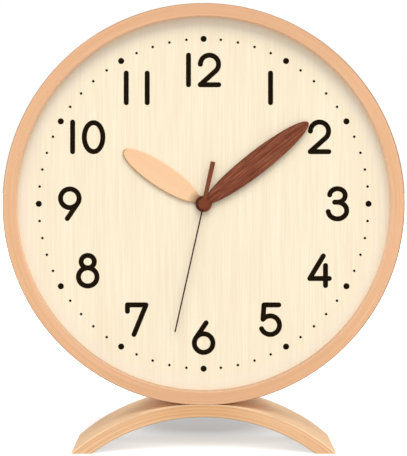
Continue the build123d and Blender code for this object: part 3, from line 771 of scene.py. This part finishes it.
def painted_hand():
    """Matt paint, darker on the needle's side of the hub."""
    material, tree, shader = new_finish("needle_paint", PAINT_ROUGHNESS, 0.05)
    skin = use(tree, moulded_skin, {"Grain": PAINT_GRAIN})
    along = reach(tree, arm(tree, axis_height), leans["second_hand"])
    paint = blend(tree, spread(tree, along, 0.0, NEEDLE_FADE), rgb(122, 69, 43), rgb(44, 18, 2))
    paint = blend(tree, times(tree, skin["Blotches"], 0.08), paint, rgb(100, 50, 28))
    fill(shader, {"Base Color": paint})
    relief(tree, shader, skin["Bumps"], FAINT_RELIEF)
    return material


def painted_cap():
    """Matt paint, a little darker round the rim."""
    material, tree, shader = new_finish("cap_paint", PAINT_ROUGHNESS, 0.1)
    skin = use(tree, moulded_skin, {"Grain": PAINT_GRAIN})
    paint = blend(tree, times(tree, skin["Blotches"], 0.3), rgb(120, 60, 38), rgb(110, 54, 34))
    rim = use(tree, arris, {"Width": CAP_RIM_WIDTH})["Mask"]
    fill(shader, {"Base Color": blend(tree, times(tree, rim, 0.5), paint, rgb(76, 34, 18))})
    relief(tree, shader, skin["Bumps"], FAINT_RELIEF)
    return material


dress(painted_hand(), "second_hand")
dress(painted_cap(), "second_hand_cap")

# %% [markdown]
# Behind the veneer lies a disc of raw fibreboard: felted chips, duller and browner than solid wood. Solid
# noise in two browns gives the chips, on the disc's rim as well as on its back.

# %% Fibreboard
CHIPS_PER_METRE = 1400.0
CHIP_RELIEF = 0.00005


def fibreboard():
    """Fine mottled chips with a few pale ones."""
    material, tree, shader = new_finish("raw_fibreboard", 0.8)
    skin = use(tree, moulded_skin, {"Grain": 0.0005})
    chips = spread(tree, noise(tree, places(tree), scale=CHIPS_PER_METRE, detail=4.0), 0.35, 0.65)
    colour = blend(tree, chips, rgb(150, 116, 82), rgb(184, 150, 112))
    colour = blend(tree, times(tree, skin["Blotches"], 0.3), colour, rgb(166, 130, 92))
    fill(shader, {"Base Color": colour})
    relief(tree, shader, skin["Bumps"], CHIP_RELIEF)
    return material


dress(fibreboard(), "dial_backer")

# %% [markdown]
# The movement is mostly moulded plastic: a black case with a spark-eroded texture, and pale slippery
# wheels. The board and the chip use the same skin with other colours.

# %% Plastics
PLASTIC_GLOSS_CHANGE = 0.05
PLASTIC_RELIEF = 0.00002
RUBBED_WIDTH = 0.0004


def plastic(name, light, dark, grain, roughness, rubbed_share=0.25):
    """Moulded plastic in two near tones, rubbed grey along its edges."""
    material, tree, shader = new_finish(name, roughness)
    skin = use(tree, moulded_skin, {"Grain": grain})
    colour = blend(tree, skin["Blotches"], light, dark)
    rubbed = times(tree, use(tree, arris, {"Width": RUBBED_WIDTH})["Mask"], rubbed_share)
    gloss = uneven_gloss(tree, skin["Blotches"], roughness, PLASTIC_GLOSS_CHANGE)
    fill(shader, {"Base Color": blend(tree, rubbed, colour, rgb(190, 190, 186)), "Roughness": gloss})
    relief(tree, shader, skin["Bumps"], PLASTIC_RELIEF)
    return material


case_black = plastic("case_black", rgb(38, 38, 39), rgb(30, 30, 31), 0.0002, 0.55, 0.10)
dress(case_black, "case_front", "case_rear", "set_knob")
wheel_white = plastic("wheel_white", rgb(238, 235, 224), rgb(228, 224, 210), 0.0004, 0.35)
subparts = frame["record"]["subparts"]
dress(wheel_white, *[row["node"] for row in subparts if row["material_slot"] == "wheel_plastic"])
dress(plastic("board_green", rgb(34, 92, 56), rgb(28, 78, 48), 0.0006, 0.4), "circuit_board")
dress(plastic("chip_black", rgb(22, 22, 22), rgb(15, 15, 15), 0.0003, 0.5, 0.05), "driver_chip")

# %% [markdown]
# Metal is turned, drawn, stamped or plated, and each way leaves its own fine lines. The colour is plain,
# and the lines and the tarnish change how sharply it reflects.

# %% Metals
METAL_GLOSS_CHANGE = 0.1
SCRATCH_RELIEF = 0.000006
TARNISH_SHARE = 0.5


def metal(name, colour, dull, lines, roughness):
    """Bare or plated metal with fine lines and a little tarnish."""
    material, tree, shader = new_finish(name, roughness)
    marks = use(tree, worked_metal, {"Lines": lines})
    tarnish = times(tree, marks["Tarnish"], TARNISH_SHARE)
    gloss = uneven_gloss(tree, marks["Scratches"], roughness, METAL_GLOSS_CHANGE, 0.3, 0.7)
    fill(shader, {"Base Color": blend(tree, tarnish, colour, dull), "Metallic": 1.0, "Roughness": gloss})
    relief(tree, shader, marks["Scratches"], SCRATCH_RELIEF)
    return material


turned_lines = (400.0, 6000.0, 400.0)
drawn_lines = (300.0, 5000.0, 5000.0)
stamped_lines = (600.0, 600.0, 4000.0)
ground_lines = (3000.0, 400.0, 3000.0)
thread_lines = (3000.0, 3000.0, 600.0)
rolled_lines = (5000.0, 400.0, 400.0)
dress(metal("turned_brass", rgb(214, 178, 104), rgb(176, 138, 74), turned_lines, 0.3),
      "hour_hand_bush", "minute_hand_bush", "clutch_washer")
dress(metal("zinc_screws", rgb(190, 190, 186), rgb(150, 150, 146), thread_lines, 0.35),
      "base_screws", "dial_screws")
dress(metal("stamped_steel", rgb(176, 176, 178), rgb(140, 138, 136), stamped_lines, 0.38),
      "motor_stator", "coil_core")
dress(metal("ground_ferrite", rgb(58, 58, 61), rgb(40, 40, 42), ground_lines, 0.5), "rotor_magnet")
dress(metal("drawn_can", rgb(206, 206, 210), rgb(170, 170, 174), drawn_lines, 0.2), "quartz_crystal")
dress(metal("nickel_leaf", rgb(204, 198, 186), rgb(168, 160, 146), rolled_lines, 0.28),
      "battery_contact_positive", "battery_contact_negative")

# %% [markdown]
# The coil is many turns of fine enamelled wire. The turns lie level round an upright core and are too fine
# to draw one by one, so bands that follow the height stand for them. The wave node counts 20 radians for
# each unit of its scale, so with one wire for each radian a band stands for about six turns.

# %% Copper winding
WIRE_WIDTH = 0.00012
WAVE_RADIANS = 20
TURN_RELIEF = 0.00004


def winding():
    """Enamelled copper with a band for every six turns or so."""
    material, tree, shader = new_finish("copper_winding", 0.3)
    sockets = {"Vector": places(tree), "Scale": 1 / WIRE_WIDTH / WAVE_RADIANS, "Distortion": 0.6}
    turns = add(tree, "TexWave", sockets, bands_direction="Z").outputs[1]
    colour = blend(tree, turns, rgb(120, 56, 26), rgb(206, 112, 62))
    fill(shader, {"Base Color": colour, "Metallic": 1.0})
    relief(tree, shader, turns, TURN_RELIEF)
    return material


dress(winding(), "coil_winding")

# %% [markdown]
# The battery is a plain cell in a dark sleeve. A pale band marks its positive end, and bare steel shows at
# the button and at the foot, so the colour changes along its length.

# %% Battery
cell_low, cell_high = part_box("battery")
BUTTON_LENGTH = 0.0012
BAND_LENGTH = 0.009
FOOT_LENGTH = 0.0003


def sleeve():
    """Dark sleeve, pale band and bare metal ends, told apart by the place along the cell."""
    material, tree, shader = new_finish("cell_sleeve", 0.32)
    skin = use(tree, moulded_skin, {"Grain": 0.0008})
    along = parts(tree, places(tree))["X"]
    dark = blend(tree, times(tree, skin["Blotches"], 0.4), rgb(44, 48, 54), rgb(36, 40, 46))
    band = calc(tree, "GREATER_THAN", along, cell_high.x - BUTTON_LENGTH - BAND_LENGTH)
    button = calc(tree, "GREATER_THAN", along, cell_high.x - BUTTON_LENGTH)
    foot = calc(tree, "LESS_THAN", along, cell_low.x + FOOT_LENGTH)
    bare = calc(tree, "MAXIMUM", button, foot)
    colour = blend(tree, band, dark, rgb(214, 212, 204))
    fill(shader, {"Base Color": blend(tree, bare, colour, rgb(196, 196, 192)), "Metallic": bare})
    relief(tree, shader, skin["Bumps"], FAINT_RELIEF)
    return material


dress(sleeve(), "battery")

# %% [markdown]
# The numbers are printed on the veneer in one weight of line with round ends. Each figure is a few
# strokes: straight lines, arcs, and closed ovals. A stroke becomes a very low bar of ink with a bevelled
# rim, and the strokes of a figure are fused, so that the ink is one clean piece. All sizes of a figure are
# in millimetres from its middle.

# %% Strokes
ARC_STEP = 6.0
CAP_STEPS = 10


def arc(centre, half_width, half_height, start, end):
    """Points of an oval's arc between two angles in degrees, counted against the clock from +X."""
    count = max(2, round(abs(end - start) / ARC_STEP))
    angles = [math.radians(start + (end - start) * i / count) for i in range(count + 1)]
    return [(centre[0] + half_width * math.cos(a), centre[1] + half_height * math.sin(a)) for a in angles]


def normals(path, closed):
    """The unit vector to the left of the path at each of its points."""
    found = []
    last = len(path) - 1
    for i in range(len(path)):
        before = path[i - 1] if i > 0 or closed else path[0]
        after = path[(i + 1) % len(path)] if i < last or closed else path[last]
        dx, dy = after[0] - before[0], after[1] - before[1]
        size = math.hypot(dx, dy)
        found.append((-dy / size, dx / size))
    return found


def beside(path, left, distance):
    """The path moved sideways."""
    return [(p[0] + n[0] * distance, p[1] + n[1] * distance) for p, n in zip(path, left)]


def cap(point, normal, half):
    """The inner points of a half circle, from the left side of a path's end round to its right side."""
    start = math.atan2(normal[1], normal[0])
    angles = [start - math.pi * i / CAP_STEPS for i in range(1, CAP_STEPS)]
    return [(point[0] + half * math.cos(a), point[1] + half * math.sin(a)) for a in angles]


def outline(path, half):
    """The closed outline of an open stroke with round ends."""
    left = normals(path, False)
    back = (-left[0][0], -left[0][1])
    far_end = cap(path[-1], left[-1], half)
    near_end = cap(path[0], back, half)
    return beside(path, left, half) + far_end + beside(path, left, -half)[::-1] + near_end


print("strokes ready")

# %% [markdown]
# A bar of ink has a foot at its full width and a top that is a little narrower. Closed ovals get an outer
# and an inner wall instead of round ends.

# %% Raised bars


def loop(mesh, points, middle, y):
    """Points of an outline, in millimetres about a middle, as vertices at one depth."""
    return [mesh.verts.new((middle[0] + MM * p[0], y, middle[1] + MM * p[1])) for p in points]


def wall(mesh, first, second):
    """Faces between two loops of equal length."""
    for i in range(len(first)):
        j = (i + 1) % len(first)
        mesh.faces.new((first[i], first[j], second[j], second[i]))


def closed_mesh(mesh, name):
    """Turns the faces of a closed shape outwards and keeps it as a mesh."""
    bmesh.ops.recalc_face_normals(mesh, faces=mesh.faces)
    made = bpy.data.meshes.new(name)
    mesh.to_mesh(made)
    mesh.free()
    return made


def raised_bar(path, half, bevel, middle, foot, top):
    """One stroke as a low bar from foot to top, two depths along Y."""
    mesh = bmesh.new()
    if math.dist(path[0], path[-1]) < bevel:
        left = normals(path[:-1], True)
        rims = [beside(path[:-1], left, side) for side in (half, -half)]
        tops = [beside(path[:-1], left, side) for side in (half - bevel, bevel - half)]
        loops = [loop(mesh, points, middle, foot) for points in rims]
        loops += [loop(mesh, points, middle, top) for points in tops]
        for first, second in ((0, 1), (1, 3), (3, 2), (2, 0)):
            wall(mesh, loops[first], loops[second])
    else:
        low = loop(mesh, outline(path, half), middle, foot)
        high = loop(mesh, outline(path, half - bevel), middle, top)
        wall(mesh, low, high)
        mesh.faces.new(low)
        mesh.faces.new(high)
    return closed_mesh(mesh, "bar")


print("raised bars ready")

# %% [markdown]
# To fuse the bars of a figure, the first one gets an exact boolean modifier for each of the others. The
# result is taken as a mesh of its own, and the other bars go away. The finished figure rides on the case.

# %% Fused figures


def linked(name, mesh):
    """A new piece with this mesh."""
    piece = bpy.data.objects.new(name, mesh)
    bpy.context.scene.collection.objects.link(piece)
    return piece


def raised_figure(name, bars, material):
    """Fuses bars into one piece that is fixed to the case of the clock."""
    piece = linked(name, bars[0])
    others = [linked("bar", bar) for bar in bars[1:]]
    for other in others:
        fuse = piece.modifiers.new("fuse", "BOOLEAN")
        fuse.operation = "UNION"
        fuse.solver = "EXACT"
        fuse.object = other
    graph = bpy.context.evaluated_depsgraph_get()
    fused = bpy.data.meshes.new_from_object(piece.evaluated_get(graph))
    piece.modifiers.clear()
    piece.data = fused
    piece.data.name = name
    piece.data.materials.clear()
    piece.data.materials.append(material)
    for other in others:
        bpy.data.objects.remove(other)
    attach(piece, "clock_case")


print("fused figures ready")

# %% [markdown]
# The figures share one height and, apart from the plain upright of the one, nearly one width. The one, the
# four and the seven are straight lines alone.

# %% Straight figures
HALF_HEIGHT = 7.4
HALF_WIDTH = 4.65


def figure_one():
    return [[(0, -HALF_HEIGHT), (0, HALF_HEIGHT)]]


def figure_four():
    bar_height = -3.9
    corner = (-4.9, bar_height)
    post = 3.0
    return [[(1.9, HALF_HEIGHT), corner], [corner, (4.9, bar_height)], [(post, 2.6), (post, -HALF_HEIGHT)]]


def figure_seven():
    left, right = (-HALF_WIDTH, HALF_HEIGHT), (HALF_WIDTH, HALF_HEIGHT)
    return [[left, right], [left, (-HALF_WIDTH, 4.2)], [right, (-1.35, -HALF_HEIGHT)]]


print("straight figures: 3")

# %% [markdown]
# The other figures have bowls. Where a straight line runs into a bowl, as in the two and the six, it leaves
# the circle along a tangent. Two bowls that meet at a waist reach a little beyond the straight figures,
# above and below, so that they look as high. The top of the nought is a little lower.

# %% Round figures


def tangent_angle(centre, radius, point, side):
    """The angle on a circle where a line from a point outside touches it, in degrees."""
    dx, dy = point[0] - centre[0], point[1] - centre[1]
    return math.degrees(math.atan2(dy, dx) + side * math.acos(radius / math.hypot(dx, dy)))


def figure_two():
    radius = 4.55
    bowl = (0, HALF_HEIGHT - radius)
    corner = (-HALF_WIDTH, -HALF_HEIGHT)
    leave = tangent_angle(bowl, radius, corner, 1)
    return [arc(bowl, radius, radius, 180, leave) + [corner], [corner, (HALF_WIDTH, -HALF_HEIGHT)]]


def two_bowls(waist, overshoot, upper_width, upper_ends, lower_ends):
    """Two ovals, one above a waist and one below it, each as an arc between two angles."""
    upper_half = (HALF_HEIGHT + overshoot - waist) / 2
    lower_half = (HALF_HEIGHT + overshoot + waist) / 2
    upper = arc((0, waist + upper_half), upper_width, upper_half, *upper_ends)
    return [upper, arc((0, waist - lower_half), HALF_WIDTH, lower_half, *lower_ends)]


def figure_three():
    waist = 0.8
    return two_bowls(waist, 0.15, 3.9, (175, -90), (90, -173)) + [[(-1.4, waist), (0, waist)]]


def figure_five():
    radius = 4.65
    bowl = (0, radius - HALF_HEIGHT)
    start = 141
    stem_foot = arc(bowl, radius, radius, start, start + 1)[0]
    flag_corner = (-3.1, HALF_HEIGHT)
    flag = [flag_corner, (4.3, HALF_HEIGHT)]
    return [flag, [flag_corner, stem_foot], arc(bowl, radius, radius, start, -158)]


def figure_six():
    bowl = (0, HALF_WIDTH - HALF_HEIGHT)
    stem_top = (1.25, HALF_HEIGHT)
    touch = tangent_angle(bowl, HALF_WIDTH, stem_top, 1)
    stem_foot = arc(bowl, HALF_WIDTH, HALF_WIDTH, touch, touch + 1)[0]
    return [arc(bowl, HALF_WIDTH, HALF_WIDTH, 0, 360), [stem_top, stem_foot]]


def figure_eight():
    return two_bowls(1.4, 0.25, 3.3, (0, 360), (0, 360))


def figure_nine():
    return [[(-x, -y) for x, y in stroke] for stroke in figure_six()]


def figure_nought():
    drop = 0.14
    return [arc((0, -drop), HALF_WIDTH, HALF_HEIGHT - drop, 0, 360)]


figures = {
    "0": figure_nought, "1": figure_one, "2": figure_two, "3": figure_three, "4": figure_four,
    "5": figure_five, "6": figure_six, "7": figure_seven, "8": figure_eight, "9": figure_nine,
}
print("figures drawn:", len(figures))

# %% [markdown]
# Ink is nearly black, a little brown, and dull. It sinks slightly into the veneer and stands hardly thicker
# than paint. A number of two figures has them at one pitch and is centred as a whole on its hour.

# %% Hour numbers
NUMBER_CIRCLE = 67.0
FIGURE_PITCH = 10.5
INK_HALF = 1.28
INK_BEVEL = 0.05
INK_HEIGHT = 0.06 * MM
INK_SINK = 0.03 * MM
ink_foot = dial_face + INK_SINK
ink_top = dial_face - INK_HEIGHT


def printing_ink():
    """Dull black ink with faint unevenness."""
    material, tree, shader = new_finish("printing_ink", 0.8, 0.05)
    skin = use(tree, moulded_skin, {"Grain": PAINT_GRAIN})
    fill(shader, {"Base Color": blend(tree, skin["Blotches"], rgb(27, 17, 4), rgb(22, 14, 3))})
    relief(tree, shader, skin["Bumps"], FAINT_RELIEF)
    return material


def dial_place(radius, degrees):
    """A place on the dial, in metres across and up, at a radius in millimetres."""
    turn = math.radians(degrees)
    return (MM * radius * math.sin(turn), axis_height + MM * radius * math.cos(turn))


def number_strokes(text):
    """The strokes of a number, with its width centred on its middle."""
    paths = []
    for i, figure in enumerate(text):
        paths += [[(x + i * FIGURE_PITCH, y) for x, y in stroke] for stroke in figures[figure]()]
    across = [x for path in paths for x, _ in path]
    middle = (min(across) + max(across)) / 2
    return [[(x - middle, y) for x, y in path] for path in paths]


ink = printing_ink()
for hour in range(1, 13):
    middle = dial_place(NUMBER_CIRCLE, 30 * hour)
    strokes = number_strokes(str(hour))
    bars = [raised_bar(path, INK_HALF, INK_BEVEL, middle, ink_foot, ink_top) for path in strokes]
    raised_figure(f"number_{hour}", bars, ink)
print("numbers printed: 12")

# %% [markdown]
# Sixty dots stand round the numbers, a larger one at each hour. A dot is a low disc of the same ink, and
# all the dots of one size are one piece of print.

# %% Dots
DOT_CIRCLE = 82.55
HOUR_DOT = 3.1
MINUTE_DOT = 1.35


def dots(name, minutes, diameter):
    """A set of dots of one size, as one piece of print."""
    mesh = bmesh.new()
    for minute in minutes:
        middle = dial_place(DOT_CIRCLE, 6 * minute)
        rims = []
        for radius, y in ((diameter / 2, ink_foot), (diameter / 2 - INK_BEVEL, ink_top)):
            rims.append(loop(mesh, arc((0, 0), radius, radius, 0, 360)[:-1], middle, y))
        wall(mesh, *rims)
        for rim in rims:
            mesh.faces.new(rim)
    piece = linked(name, closed_mesh(mesh, name))
    piece.data.materials.append(ink)
    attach(piece, "clock_case")


dots("hour_dots", range(0, 60, 5), HOUR_DOT)
dots("minute_dots", [minute for minute in range(60) if minute % 5], MINUTE_DOT)
print("dots printed: 60")

# %% [markdown]

# %% End
print("visual model done")
